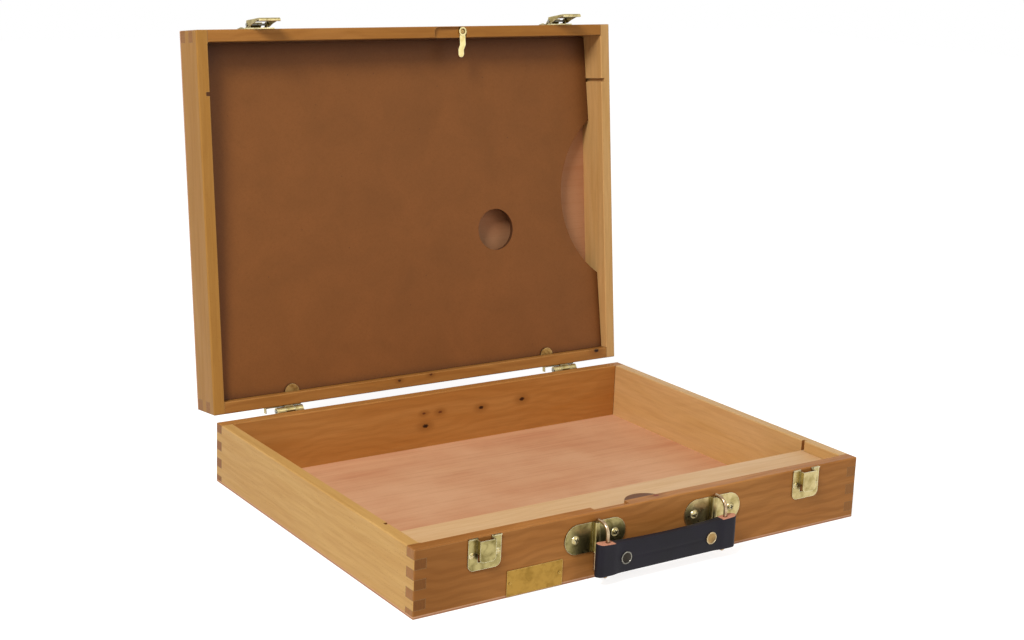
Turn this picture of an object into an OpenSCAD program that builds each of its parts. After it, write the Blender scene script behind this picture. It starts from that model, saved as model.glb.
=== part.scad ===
// Brush box with a hinged lid: two shallow finger-jointed trays of beech,
// hinged at the back, with a palette held in the lid, two hasp latches and
// a leather strap handle on the front. Millimetres, Z up, X along the front.
// The origin is the centre of the underside. The lid pieces are drawn with
// the lid shut and turned back to the open pose by lid_pose().

/* [Box] */
// Width along the front
box_w = 420; // [300:1:520]
// Depth from front to back
box_d = 318; // [220:1:400]
// Height of the base up to its rim
base_h = 51.4; // [50:0.1:80]
// Height of the lid from its rim to its top
lid_h = 33.5; // [29:0.1:50]
// Thickness of the side boards
wall = 10; // [9:0.5:14]
// Thickness of the plywood panels
panel_t = 2.4; // [2:0.1:4]
// Height of one finger of the corner joints
finger_h = 7.45; // [5:0.05:10]
// Radius on the outer edges
edge_r = 1.1; // [0.5:0.1:1.8]
// Chamfer on the inner edges of the rims
rim_chamfer = 0.6; // [0.2:0.1:1]
// Gap between the rims when the lid is shut
lid_gap = 0.3; // [0.2:0.1:0.8]
// How far the lid stands open
lid_open = 96.5; // [90:0.5:100]

/* [Slots and pockets] */
// Middle of the side grooves, from the front
slot_y = 52; // [35:1:90]
// Width of the side grooves
slot_w = 3.4; // [2:0.1:5]
// Depth of the side grooves into the wall
slot_depth = 3.5; // [2:0.1:5]
// Length of the base groove down from the rim
slot_base_h = 11; // [6:0.5:20]
// Left end of the pocket in the base's front rim, from the middle
pocket_x0 = -54; // [-70:1:-45]
// Right end of the pocket in the base's front rim, from the middle
pocket_x1 = -22; // [-34:1:-12]
// Depth of the pocket in the base's front rim
pocket_depth = 2.4; // [1.5:0.1:4]
// Lip left in front of the pocket
pocket_lip = 2.5; // [1.5:0.1:4]
// Length of the curved rest inside the front rim
rest_len = 30; // [20:1:40]
// How far the curved rest stands into the tray
rest_reach = 8; // [5:0.5:12]
// Height of the curved rest
rest_h = 8; // [4:0.5:14]

/* [Palette] */
// Thickness of the palette board
palette_t = 4; // [3:0.1:6]
// Play of the palette between the lid boards
palette_gap = 0.3; // [0.2:0.05:1]
// Thumb hole diameter
thumb_d = 38; // [30:1:46]
// Thumb hole from the middle of the box, to the right
thumb_x = 86; // [40:1:120]
// Thumb hole from the inner face of the rear board
thumb_u = 122; // [70:1:150]
// Radius of the hand notch in the right edge
notch_r = 90; // [70:1:110]
// How deep the notch goes in
notch_depth = 37.5; // [20:0.5:50]
// Middle of the notch from the inner face of the rear board
notch_u = 145; // [110:1:170]
// Diameter of the two brass holding discs
disc_d = 13.3; // [10:0.1:18]
// Thickness of the holding discs
disc_t = 1.0; // [0.8:0.1:1.6]
// Depth of the discs below the lid rim
disc_depth = 6.2; // [4:0.1:9]
// Distance of each disc from the middle of the box
disc_x = 134; // [90:1:160]

/* [Palette clip] */
// Clip pivot from the middle of the box, to the right
clip_x = 46.6; // [20:0.2:80]
// Length from the pivot to the middle of the tip
clip_len = 20; // [16:0.5:26]
// Radius of the clip's tip
clip_tip_r = 2.8; // [2:0.1:3.5]
// Sideways step of the S-shaped arm
clip_step = 1.9; // [0:0.1:3]
// Radius of the clip's eye
clip_eye_r = 3.8; // [3.2:0.1:4]
// Thickness of the clip's arm
clip_t = 1.2; // [0.8:0.1:1.6]
// Depth of the clip pocket in the lid rim
clip_pocket_depth = 2.6; // [2.4:0.1:4]
// Length of the clip pocket to the left of the pivot
clip_pocket_len = 29.8; // [26:0.2:36]

/* [Hinges] */
// Middle of each hinge from the side of the box
hinge_from_side = 65; // [45:1:100]
// Length of the hinge knuckles
hinge_len = 25; // [20:1:36]
// Distance of the hinge pin behind the rear face
hinge_out = 4; // [3.6:0.1:5]
// Outer radius of the knuckles
knuckle_r = 3.1; // [2.9:0.1:3.4]
// Radius of the hinge pin
hinge_pin_r = 1.2; // [0.9:0.1:1.5]
// Height of each hinge leaf on the rear faces
leaf_h = 19; // [14:0.5:24]
// Thickness of the hinge leaves
leaf_t = 1.2; // [1.1:0.1:1.5]
// How far the lid leaf runs past the knuckles
leaf_ear_len = 8.5; // [5:0.5:12]

/* [Latches] */
// Middle of each latch from the middle of the box
latch_x = 153; // [100:1:170]
// Width of the latch plates
latch_w = 27.6; // [25:0.2:34]
// Thickness of the latch plates
latch_t = 1.0; // [0.8:0.1:1.4]
// Height of the keeper plate on the base
keeper_h = 24.2; // [22:0.2:30]
// Height of the hasp plate on the lid
hasp_plate_h = 17.2; // [15:0.2:22]
// Keeper screws below the rim
keeper_screw_z = 13; // [11:0.2:16]
// Corner radius of the latch plates
latch_corner_r = 5; // [3:0.5:8]
// Width of the keeper tongue
tongue_w = 13.4; // [10:0.2:14]
// Top of the tongue below the rim
tongue_top = 1.8; // [1:0.1:3]
// Length of the tongue
tongue_len = 16; // [14:0.2:18]
// How far the tongue stands out from the face
tongue_proud = 5.4; // [4.4:0.1:5.6]
// Sheet thickness of the tongue and hasp
sheet_t = 0.9; // [0.7:0.05:1.1]
// Outer width of the hasp
hasp_w = 19.2; // [18:0.2:22]
// Hasp pin above the lid rim
hasp_pin_s = 4; // [3.5:0.1:5]
// Hasp pin in front of the face
hasp_pin_p = 3.6; // [3.4:0.1:4]
// Radius of the hasp pin
hasp_pin_r = 0.9; // [0.7:0.05:1.1]
// Height of the hasp's top above its pin
hasp_rise = 3.7; // [3.5:0.1:4]
// Radius of the hasp's eye round its pin
hasp_eye_r = 2.3; // [2.1:0.05:2.4]
// Length of the hasp's deep side flanges from its pin
flange_len = 9; // [8:0.5:11]
// Root of the hasp plate's lip above the lid rim
lip_root = 13.6; // [12.4:0.2:15]
// Reach of the lip from the face
lip_out = 5.6; // [4.6:0.1:6]
// Bite of the hasp hook under the tongue
hook_bite = 1.0; // [0.6:0.1:1.2]
// Rest angle of the left hasp above its shut position
hasp_rest_left = 3.2; // [3:0.1:12]
// Rest angle of the right hasp above its shut position
hasp_rest_right = 5; // [3:0.1:12]

/* [Handle] */
// Each ring plate from the middle of the box
ring_x = 56; // [45:1:75]
// Middle of the ring plates below the rim
plate_depth = 18.2; // [15:0.2:24]
// Length of a ring plate
plate_w = 55.2; // [46:0.2:62]
// Height of a ring plate
plate_h = 23; // [18:0.5:26]
// Thickness of a ring plate
plate_t = 1.0; // [0.8:0.1:1.4]
// Screw distance from the middle of a ring plate
plate_screw_x = 18; // [14:0.5:21]
// Radius of the ring plates' screw heads
plate_head_r = 3.4; // [2.6:0.1:4]
// Height of the ring plates' screw heads
plate_head_h = 1.8; // [1:0.1:2.4]
// Diameter of the ring wire
wire_d = 2.8; // [2.2:0.1:3.2]
// Width of the raised channel that holds the ring
channel_w = 5; // [4.8:0.1:6]
// Reach of the rings from the channel to the strap
ring_reach = 13.2; // [11:0.2:18]
// Bend radius of the rings at their sharp corners
bend_r = 1.8; // [1.7:0.1:2.4]
// Bend radius of the rings at their upper outer corner
droop_r = 8; // [4:0.5:9]
// Height of the strap
strap_h = 25.6; // [20:0.2:27]
// Top of the strap below the rim, at its ends
strap_top = 17.4; // [16:0.2:19]
// Drop of the strap's top edge in the middle
strap_sag = 2.6; // [1:0.1:4]
// Thickness of the strap at its end loops
strap_loop_t = 8.8; // [8:0.1:10]
// Thickness of the strap between the loops
strap_t = 6.6; // [4:0.1:8]
// How far the strap runs past each ring
strap_past = 9.6; // [8:0.2:12]
// Distance of each strap rivet from its ring
rivet_in = 15.5; // [14:0.5:30]
// Radius of the rivet heads
rivet_r = 4.8; // [3:0.1:6]

/* [Nameplate] */
// Width of the bare plate on the front
name_w = 48.5; // [30:0.5:60]
// Height of the bare plate
name_h = 19.4; // [12:0.2:24]
// Middle of the bare plate from the middle of the box
name_x = -108.7; // [-120:0.1:-100]
// Thickness of the bare plate
name_t = 0.7; // [0.5:0.1:1.2]

/* [Screws] */
// Shank radius of the wood screws
screw_r = 1.2; // [0.9:0.1:1.5]
// Radius of the small screw heads
head_r = 2.2; // [1.8:0.1:2.4]
// Height of the small screw heads
head_h = 0.9; // [0.6:0.1:1.2]
// Length of the wood screws in the board
screw_len = 8; // [5:0.5:8.5]

/* [Hidden] */
// Running clearance of pins in their bores
fit = 0.05;
// Clearance between parts that pass each other
pass = 0.3;
// Clearance of a screw in its pilot hole
pilot_gap = 0.03;
front_y = -box_d / 2;
rear_y = box_d / 2;
frame_base_h = base_h - panel_t;
frame_lid_h = lid_h - panel_t;
lid_z = base_h + lid_gap;
inner_w = box_w - 2 * wall;
inner_d = box_d - 2 * wall;
hinge_y = rear_y + hinge_out;
hinge_z = base_h + lid_gap / 2;
over = 1;
// Palette: low edge behind the discs, high edge against the lid panel
palette_low = disc_depth + disc_t + palette_gap;
palette_len = inner_d - 2 * palette_gap;
palette_high = frame_lid_h - palette_gap - palette_t;
palette_tilt = asin((palette_high - palette_low) / palette_len);
disc_gap = 0.1;
// Latch
tongue_bottom = tongue_top + tongue_len;
keeper_top = 0.4;
hook_t = 1.5;
hasp_in_w = hasp_w - 2 * sheet_t;
hasp_reach = tongue_bottom + pass + hook_t + hasp_pin_s + lid_gap;
hasp_ear_r = 2.2;
hasp_curl = hasp_ear_r + pass;
lip_low = hasp_pin_s + hasp_rise + 3 * pass;
lip_t = 0.6;
// Handle
channel_c = plate_t + wire_d / 2;
channel_p = channel_c + wire_d / 2 + 0.9;
plate_z = base_h - plate_depth;
ring_y = front_y - channel_c;
bar_y = ring_y - ring_reach;
strap_z1 = base_h - strap_top;
strap_z0 = strap_z1 - strap_h;
loop_r = wire_d / 2 + pass;

// Clip
clip_y = front_y + wall / 2 - 0.5;
clip_z = lid_z + clip_pocket_depth - 0.1;
clip_eye_h = 2.0;
$fn = 48;

BEECH = "#C8985A";
PLY = "#C79468";
HARDBOARD = "#7D502A";
BRASS = "#C9B877";
LEATHER = "#1F1A22";
STEEL = "#A8A8A4";

// General shapes

module round_rect(w, h, r) {
    square([w - 2 * r, h], center = true);
    square([w, h - 2 * r], center = true);
    for (sx = [-1, 1], sy = [-1, 1])
        translate([sx * (w / 2 - r), sy * (h / 2 - r)]) circle(r);
}

module stadium(w, h) {
    square([w - h, h], center = true);
    for (sx = [-1, 1])
        translate([sx * (w - h) / 2, 0]) circle(h / 2);
}

// A block of one half of the box with all twelve edges rounded
module half_envelope(z0, h) {
    intersection() {
        translate([0, 0, z0]) linear_extrude(h) round_rect(box_w, box_d, edge_r);
        translate([0, 0, z0 + h / 2]) rotate([90, 0, 0])
            linear_extrude(box_d + over, center = true) round_rect(box_w, h, edge_r);
        translate([0, 0, z0 + h / 2]) rotate([90, 0, 90])
            linear_extrude(box_w + over, center = true) round_rect(box_d, h, edge_r);
    }
}

// Turns the lid pieces from shut to open about the hinge pins
module lid_pose() {
    translate([0, hinge_y, hinge_z]) rotate([-lid_open, 0, 0])
        translate([0, -hinge_y, -hinge_z]) children();
}

// A domed screw head with its shank, pointing along +Z into the wood
module dome_screw(head_r, head_h, len) {
    ball_r = (head_r * head_r + head_h * head_h) / (2 * head_h);
    difference() {
        intersection() {
            translate([0, 0, ball_r - head_h]) sphere(ball_r);
            translate([0, 0, -head_h]) cylinder(r = head_r, h = head_h);
        }
        translate([0, 0, -head_h]) cube([2 * head_r, 0.7, head_h], center = true);
    }
    cylinder(r = screw_r, h = len);
}

// Boards with finger joints

function finger_count(h) = max(2, round(h / finger_h));
function finger_from(k) = k * finger_h;
function finger_to(k, h) = k == finger_count(h) - 1 ? h : (k + 1) * finger_h;

// Notches at both ends of a board, at every second finger from the rim
module finger_notches(h, first, rim_z, down, half_len, across) {
    for (k = [first : 2 : finger_count(h) - 1], end = [-1, 1]) {
        z0 = down ? rim_z - finger_to(k, h) : rim_z + finger_from(k);
        dz = finger_to(k, h) - finger_from(k);
        if (across)
            translate([end * (half_len - wall / 2), 0, z0 + dz / 2])
                cube([wall, 4 * wall, dz], center = true);
        else
            translate([0, end * (half_len - wall / 2), z0 + dz / 2])
                cube([4 * wall, wall, dz], center = true);
    }
}

// Board along X, at the front (side -1) or the rear (side 1)
module long_board(side, z0, h, first, rim_z, down) {
    y = side * (box_d - wall) / 2;
    inner_y = side * inner_d / 2;
    difference() {
        translate([0, y, z0 + h / 2]) cube([box_w, wall, h], center = true);
        translate([0, y, 0]) finger_notches(h, first, rim_z, down, box_w / 2, true);
        translate([0, inner_y, rim_z]) rotate([45, 0, 0])
            cube([inner_w - 2, rim_chamfer * sqrt(2), rim_chamfer * sqrt(2)], center = true);
    }
}

// Board along Y, at the left (side -1) or the right (side 1)
module short_board(side, z0, h, first, rim_z, down) {
    x = side * (box_w - wall) / 2;
    inner_x = side * inner_w / 2;
    difference() {
        translate([x, 0, z0 + h / 2]) cube([wall, box_d, h], center = true);
        translate([x, 0, 0]) finger_notches(h, first, rim_z, down, box_d / 2, false);
        translate([inner_x, 0, rim_z]) rotate([0, 45, 0])
            cube([rim_chamfer * sqrt(2), inner_d - 2, rim_chamfer * sqrt(2)], center = true);
    }
}

// Base tray

module base_front_board() {
    color(BEECH) difference() {
        intersection() {
            long_board(-1, panel_t, frame_base_h, 1, base_h, true);
            half_envelope(0, base_h);
        }
        rim_pocket();
        keeper_at() keeper_screw_holes();
        ring_plate_at() plate_screw_holes();
        nameplate_at() nameplate_pin_holes();
        rim_pin_place() cylinder(r = screw_r + pilot_gap, h = 2 * (screw_len + pass), center = true);
    }
}

module base_rear_board() {
    color(BEECH) difference() {
        intersection() {
            long_board(1, panel_t, frame_base_h, 1, base_h, true);
            half_envelope(0, base_h);
        }
        for (side = [-1, 1]) hinge_at(side) hinge_screw_places(-1) leaf_screw_hole();
    }
}

module base_side_board(side) {
    color(BEECH) difference() {
        intersection() {
            short_board(side, panel_t, frame_base_h, 0, base_h, true);
            half_envelope(0, base_h);
        }
        side_groove(side, base_h - slot_base_h + slot_w / 2, base_h + over);
        translate([side * (inner_w / 2 + slot_depth), front_y + slot_y,
            base_h - slot_base_h + slot_w / 2])
            rotate([0, -side * 90, 0]) cylinder(d = slot_w, h = slot_depth + over);
    }
}

module base_bottom_panel() {
    color(PLY) intersection() {
        translate([0, 0, panel_t / 2]) cube([box_w, box_d, panel_t], center = true);
        half_envelope(0, base_h);
    }
}

// Groove in the inner face of a side board, between two heights
module side_groove(side, z0, z1) {
    translate([side * (inner_w / 2 + (slot_depth - over) / 2), front_y + slot_y, (z0 + z1) / 2])
        cube([slot_depth + over, slot_w, z1 - z0], center = true);
}

// Shallow pocket in the base's front rim, open to the tray
module rim_pocket() {
    r = 3.5;
    y0 = front_y + pocket_lip;
    y1 = front_y + wall + over;
    translate([0, 0, base_h - pocket_depth]) linear_extrude(pocket_depth + over) {
        translate([pocket_x0 + r, y0]) square([pocket_x1 - pocket_x0 - r, y1 - y0]);
        translate([pocket_x0, y0 + r]) square([r, y1 - y0 - r]);
        translate([pocket_x0 + r, y0 + r]) circle(r);
    }
}

// Curved wooden rest on the inner face of the front board
module rim_rest() {
    half = rest_len / 2;
    r = (half * half + rest_reach * rest_reach) / (2 * rest_reach);
    y0 = front_y + wall;
    x = pocket_x1 + half;
    color(BEECH) translate([x, y0, base_h - lid_gap - rest_h]) linear_extrude(rest_h)
        intersection() {
            translate([0, rest_reach - r]) circle(r, $fn = 96);
            translate([-half, 0]) square([rest_len, rest_reach + over]);
        }
}

module rim_pin_place() {
    translate([pocket_x0 + 7, front_y + pocket_lip + 2.1, base_h - pocket_depth])
        rotate([180, 0, 0]) children();
}

module rim_pin() {
    color(STEEL) rim_pin_place() dome_screw(1.5, 1.0, screw_len);
}

// Lid tray, drawn shut

module lid_front_board() {
    color(BEECH) lid_pose() difference() {
        intersection() {
            long_board(-1, lid_z, frame_lid_h, 0, lid_z, false);
            half_envelope(lid_z, lid_h);
        }
        clip_pocket();
        clip_place() translate([0, 0, -screw_len - pass])
            cylinder(r = screw_r + pilot_gap, h = screw_len + pass + over);
        hasp_plate_at() hasp_plate_screw_holes();
    }
}

module lid_rear_board() {
    color(BEECH) lid_pose() difference() {
        intersection() {
            long_board(1, lid_z, frame_lid_h, 0, lid_z, false);
            half_envelope(lid_z, lid_h);
        }
        disc_places() cylinder(d = disc_d + 2 * disc_gap, h = disc_t + 2 * disc_gap, center = true);
        for (side = [-1, 1]) hinge_at(side) hinge_screw_places(1) leaf_screw_hole();
    }
}

module lid_side_board(side) {
    color(BEECH) lid_pose() difference() {
        intersection() {
            short_board(side, lid_z, frame_lid_h, 1, lid_z, false);
            half_envelope(lid_z, lid_h);
        }
        side_groove(side, lid_z - over, lid_z + frame_lid_h + over);
    }
}

module lid_top_panel() {
    color(PLY) lid_pose() intersection() {
        translate([0, 0, lid_z + lid_h - panel_t / 2]) cube([box_w, box_d, panel_t], center = true);
        half_envelope(lid_z, lid_h);
    }
}

// Palette, leaning from the discs at the rear board to the lid panel

// Palette frame: origin at its low edge on the rim side, X right, Y up the slope
module palette_place() {
    translate([0, rear_y - wall - palette_gap, lid_z + palette_low])
        rotate([-palette_tilt, 0, 0]) mirror([0, 1, 0]) children();
}

module palette() {
    w = inner_w - 2 * palette_gap;
    notch_x = w / 2 - notch_depth + notch_r;
    len = palette_len * cos(palette_tilt) - palette_t * sin(palette_tilt);
    color(HARDBOARD) lid_pose() palette_place() linear_extrude(palette_t) difference() {
        translate([-w / 2, 0]) square([w, len]);
        translate([notch_x, notch_u]) circle(notch_r, $fn = 160);
        translate([thumb_x, thumb_u]) circle(d = thumb_d, $fn = 72);
    }
}

module disc_places() {
    for (side = [-1, 1])
        translate([side * disc_x, rear_y - wall, lid_z + disc_depth + disc_t / 2]) children();
}

module palette_discs() {
    color(BRASS) lid_pose() disc_places() cylinder(d = disc_d, h = disc_t, center = true);
}

// Swivel clip on the lid's front rim, in a pocket that it folds into

module clip_place() {
    translate([clip_x, clip_y, clip_z]) mirror([0, 0, 1]) children();
}

module clip_pocket() {
    r = 4;
    x0 = clip_x - clip_pocket_len;
    y0 = clip_y - clip_eye_r - 0.2;
    y1 = front_y + wall + over;
    head_r = clip_eye_r + 0.2;
    translate([0, 0, lid_z - over]) linear_extrude(clip_pocket_depth + over) {
        translate([x0 + r, y0]) square([clip_x - x0 - r, y1 - y0]);
        translate([x0, y0 + r]) square([r, y1 - y0 - r]);
        translate([x0 + r, y0 + r]) circle(r);
        translate([clip_x, clip_y]) circle(head_r);
        translate([clip_x, clip_y]) square([head_r, y1 - clip_y]);
    }
}

module palette_clip() {
    neck = clip_tip_r + 0.1;
    color(BRASS) lid_pose() clip_place() difference() {
        union() {
            cylinder(r = clip_eye_r, h = clip_eye_h);
            linear_extrude(clip_t) {
                polygon([[-neck, 0], [neck, 0], [neck, 0.6 * clip_len],
                    [clip_tip_r - clip_step, 0.82 * clip_len], [clip_tip_r - clip_step, clip_len],
                    [-clip_tip_r - clip_step, clip_len], [-clip_tip_r - clip_step, 0.78 * clip_len],
                    [-neck, 0.6 * clip_len]]);
                translate([-clip_step, clip_len]) circle(clip_tip_r);
            }
        }
        translate([0, 0, -over]) cylinder(r = screw_r + fit, h = clip_eye_h + 2 * over);
        translate([0, 0, clip_t]) cylinder(r = 2.6, h = clip_eye_h);
    }
}

module palette_clip_screw() {
    color(BRASS) lid_pose() clip_place() translate([0, 0, clip_t + fit]) {
        rotate([180, 0, 0]) dome_screw(2.4, 0.8, screw_len + clip_t);
    }
}

// Hinges on the rear faces

// Hinge frame: origin on the pin at the middle of the knuckles
module hinge_at(side) {
    translate([side * (box_w / 2 - hinge_from_side) + leaf_ear_len / 2, hinge_y, hinge_z]) children();
}

knuckle_n = 3;
knuckle_len = hinge_len / knuckle_n;
knuckle_gap = 0.2;
leaf_clear = 2.2;

module knuckle(k) {
    x0 = -hinge_len / 2 + k * knuckle_len + knuckle_gap / 2;
    translate([x0, 0, 0]) rotate([0, 90, 0]) cylinder(r = knuckle_r, h = knuckle_len - knuckle_gap);
}

// Web that joins a knuckle to its leaf, up (1) or down (-1) of the pin
module knuckle_web(k, up) {
    x0 = -hinge_len / 2 + k * knuckle_len + knuckle_gap / 2;
    h = leaf_clear + 0.5;
    translate([x0, -hinge_out, up > 0 ? 0 : -h])
        cube([knuckle_len - knuckle_gap, hinge_out - knuckle_r + 1.4, h]);
}

module hinge_screw_places(up) {
    for (sx = [-1, 1])
        translate([sx * hinge_len * 0.32, -hinge_out + leaf_t, up * (leaf_clear + leaf_h * 0.5)])
            rotate([90, 0, 0]) children();
}

module leaf_screw_hole() {
    cylinder(r = screw_r + pilot_gap, h = leaf_t + screw_len + pass);
}

module leaf(up, x0, x1) {
    translate([x0, -hinge_out, up > 0 ? leaf_clear : -leaf_clear - leaf_h])
        cube([x1 - x0, leaf_t, leaf_h]);
}

module pin_bore(gap) {
    rotate([0, 90, 0]) cylinder(r = hinge_pin_r + gap, h = hinge_len + 2 * over, center = true);
}

module hinge_base_leaf(side) {
    color(BRASS) hinge_at(side) difference() {
        union() {
            leaf(-1, -hinge_len / 2, hinge_len / 2);
            for (k = [0, 2]) {
                knuckle(k);
                knuckle_web(k, -1);
            }
        }
        pin_bore(fit);
        hinge_screw_places(-1) translate([0, 0, -over]) cylinder(r = screw_r + pilot_gap, h = 2 * leaf_t + over);
    }
}

// The lid leaf runs past the knuckles on its left and ends in a small ear
module hinge_lid_leaf(side) {
    ear_t = 0.8;
    color(BRASS) lid_pose() hinge_at(side) difference() {
        union() {
            leaf(1, -hinge_len / 2 - leaf_ear_len, hinge_len / 2);
            knuckle(1);
            knuckle_web(1, 1);
            translate([-hinge_len / 2 - leaf_ear_len, -hinge_out, leaf_clear])
                cube([ear_t, hinge_out + 1.2, 3.4]);
        }
        pin_bore(fit);
        hinge_screw_places(1) translate([0, 0, -over]) cylinder(r = screw_r + pilot_gap, h = 2 * leaf_t + over);
    }
}

module hinge_pin(side) {
    head = 0.6;
    color(STEEL) hinge_at(side) rotate([0, 90, 0]) {
        cylinder(r = hinge_pin_r, h = hinge_len, center = true);
        for (end = [-1, 1])
            translate([0, 0, end * (hinge_len + head) / 2]) cylinder(r = hinge_pin_r + 0.5, h = head, center = true);
    }
}

module hinge_screws(up) {
    for (side = [-1, 1]) hinge_at(side) hinge_screw_places(up) dome_screw(head_r, head_h, screw_len + leaf_t);
}

// Latch keepers on the base
// Latch frame: X to the right, Y out from the face, Z up from the rim

module latch_frame(x, z) {
    translate([x, front_y, z]) mirror([0, 1, 0]) children();
}

module keeper_at() {
    for (side = [-1, 1]) latch_frame(side * latch_x, base_h) children();
}

// Plate outline with two rounded corners away from the rim, drawn downwards
module latch_outline(h) {
    r = latch_corner_r;
    translate([-latch_w / 2, r - h]) square([latch_w, h - r]);
    translate([-latch_w / 2 + r, -h]) square([latch_w - 2 * r, h]);
    for (sx = [-1, 1]) translate([sx * (latch_w / 2 - r), -(h - r)]) circle(r);
}

module latch_screw_places(z) {
    for (sx = [-1, 1])
        translate([sx * (latch_w / 2 - 2.9), latch_t, z]) rotate([90, 0, 0]) children();
}

module keeper_screw_holes() {
    latch_screw_places(-keeper_screw_z) cylinder(r = screw_r + pilot_gap, h = latch_t + screw_len + pass);
}

module keeper(side) {
    window_w = tongue_w - 2 * sheet_t;
    color(BRASS) latch_frame(side * latch_x, base_h) difference() {
        union() {
            difference() {
                translate([0, latch_t, -keeper_top]) rotate([90, 0, 0])
                    linear_extrude(latch_t) latch_outline(keeper_h);
                translate([0, 0, -tongue_bottom / 2]) cube([window_w, 4 * latch_t, tongue_bottom + 2], center = true);
            }
            for (sx = [-1, 1])
                translate([sx * (latch_w + tongue_w + 1) / 4, 0, -keeper_top - 0.8])
                    translate([-(latch_w - tongue_w - 1) / 4, 0, 0])
                    cube([(latch_w - tongue_w - 1) / 2, latch_t + 0.8, 0.8]);
            tongue();
        }
        latch_screw_places(-keeper_screw_z) translate([0, 0, -over]) cylinder(r = screw_r + pilot_gap, h = latch_t + 2 * over);
    }
}

// Hollow tongue, open at the top, with cheeks on its upper part
module tongue() {
    r = 3;
    cheek_len = 0.62 * tongue_len;
    translate([0, tongue_proud, -tongue_top]) rotate([90, 0, 0]) linear_extrude(sheet_t) {
        translate([-tongue_w / 2, -(tongue_len - r)]) square([tongue_w, tongue_len - r]);
        translate([-tongue_w / 2 + r, -tongue_len]) square([tongue_w - 2 * r, tongue_len]);
        for (sx = [-1, 1]) translate([sx * (tongue_w / 2 - r), -(tongue_len - r)]) circle(r);
    }
    for (sx = [-1, 1])
        translate([sx * (tongue_w - sheet_t) / 2, tongue_proud / 2, -tongue_top - cheek_len / 2])
            cube([sheet_t, tongue_proud, cheek_len], center = true);
}

module keeper_screws() {
    color(BRASS) keeper_at() latch_screw_places(-keeper_screw_z) dome_screw(head_r, head_h, screw_len + latch_t);
}

// Hasp plates and hasps on the lid

module hasp_plate_at() {
    for (side = [-1, 1]) latch_frame(side * latch_x, lid_z) children();
}

module hasp_plate_screw_holes() {
    latch_screw_places(hasp_plate_h - 5) cylinder(r = screw_r + pilot_gap, h = latch_t + screw_len + pass);
}

module hasp_plate(side) {
    ear_x = hasp_in_w / 2 - pass - sheet_t;
    lip_w = hasp_in_w - 4;
    color(BRASS) lid_pose() latch_frame(side * latch_x, lid_z) difference() {
        union() {
            translate([0, latch_t, 0.3]) rotate([90, 0, 0]) linear_extrude(latch_t)
                mirror([0, 1]) latch_outline(hasp_plate_h);
            for (sx = [-1, 1]) translate([sx * (ear_x + sheet_t / 2), 0, hasp_pin_s]) {
                translate([-sheet_t / 2, hasp_pin_p, 0]) rotate([0, 90, 0]) cylinder(r = hasp_ear_r, h = sheet_t);
                translate([-sheet_t / 2, 0, -hasp_ear_r]) cube([sheet_t, hasp_pin_p, 2 * hasp_ear_r]);
            }
            translate([-lip_w / 2, 0, 0]) rotate([90, 0, 90]) linear_extrude(lip_w)
                polygon([[0.2, lip_root], [latch_t, lip_root], [lip_out, lip_low + lip_t],
                    [lip_out - lip_t, lip_low], [0.2, lip_root - 2 * lip_t]]);
        }
        translate([0, hasp_pin_p, hasp_pin_s]) rotate([0, 90, 0])
            cylinder(r = hasp_pin_r + fit, h = latch_w, center = true);
        latch_screw_places(hasp_plate_h - 5) translate([0, 0, -over])
            cylinder(r = screw_r + pilot_gap, h = latch_t + 2 * over);
    }
}

module hasp_plate_screws() {
    color(BRASS) lid_pose() hasp_plate_at() latch_screw_places(hasp_plate_h - 5)
        dome_screw(head_r, head_h, screw_len + latch_t);
}

// Side outline of the hasp: X towards the tip, Y out from its pin
module hasp_side() {
    end = hasp_reach;
    low = tongue_proud - hasp_pin_p - hook_bite;
    circle(hasp_eye_r);
    polygon([[-1, 0], [-1, hasp_rise - 0.8], [-0.2, hasp_rise], [end - 1.2, hasp_rise],
        [end, hasp_rise - 1.2], [end, low + 0.5], [end - 0.5, low], [end - hook_t, low],
        [end - hook_t, low + hook_bite + 0.6], [flange_len, -0.2],
        [flange_len / 3, -hasp_ear_r], [0, -hasp_ear_r]]);
}

// Top sheet and hook of the hasp, between its side flanges
module hasp_top() {
    end = hasp_reach;
    low = tongue_proud - hasp_pin_p - hook_bite;
    polygon([[-1, hasp_rise - 0.8], [-0.2, hasp_rise], [end - 1.2, hasp_rise], [end, hasp_rise - 1.2],
        [end, low + 0.5], [end - 0.5, low], [end - hook_t, low], [end - hook_t, hasp_rise - sheet_t],
        [0.2, hasp_rise - sheet_t], [-0.2, hasp_curl], [-1, hasp_curl]]);
}

module hasp(side, rest) {
    color(BRASS) lid_pose() latch_frame(side * latch_x, lid_z)
        translate([0, hasp_pin_p, hasp_pin_s]) rotate([rest, 0, 0]) difference() {
            union() {
                translate([-hasp_in_w / 2, 0, 0]) rotate([90, 90, 90]) linear_extrude(hasp_in_w) hasp_top();
                for (sx = [-1, 1])
                    translate([sx * (hasp_in_w + sheet_t) / 2 - sheet_t / 2, 0, 0])
                        rotate([90, 90, 90]) linear_extrude(sheet_t) hasp_side();
            }
            rotate([0, 90, 0]) cylinder(r = hasp_pin_r + fit, h = latch_w, center = true);
        }
}

module hasp_pin(side) {
    color(STEEL) lid_pose() latch_frame(side * latch_x, lid_z)
        translate([0, hasp_pin_p, hasp_pin_s]) rotate([0, 90, 0]) {
            cylinder(r = hasp_pin_r, h = hasp_w + 0.4, center = true);
            for (end = [-1, 1]) translate([0, 0, end * (hasp_w / 2 + 0.4)])
                cylinder(r = hasp_pin_r + 0.5, h = 0.5, center = true);
        }
}

// Handle

module ring_plate_at() {
    for (side = [-1, 1]) latch_frame(side * ring_x, plate_z) children();
}

module plate_screw_places() {
    for (sx = [-1, 1]) translate([sx * plate_screw_x, plate_t, 0]) rotate([90, 0, 0]) children();
}

module plate_screw_holes() {
    plate_screw_places() cylinder(r = screw_r + pilot_gap, h = plate_t + screw_len + pass);
}

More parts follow.
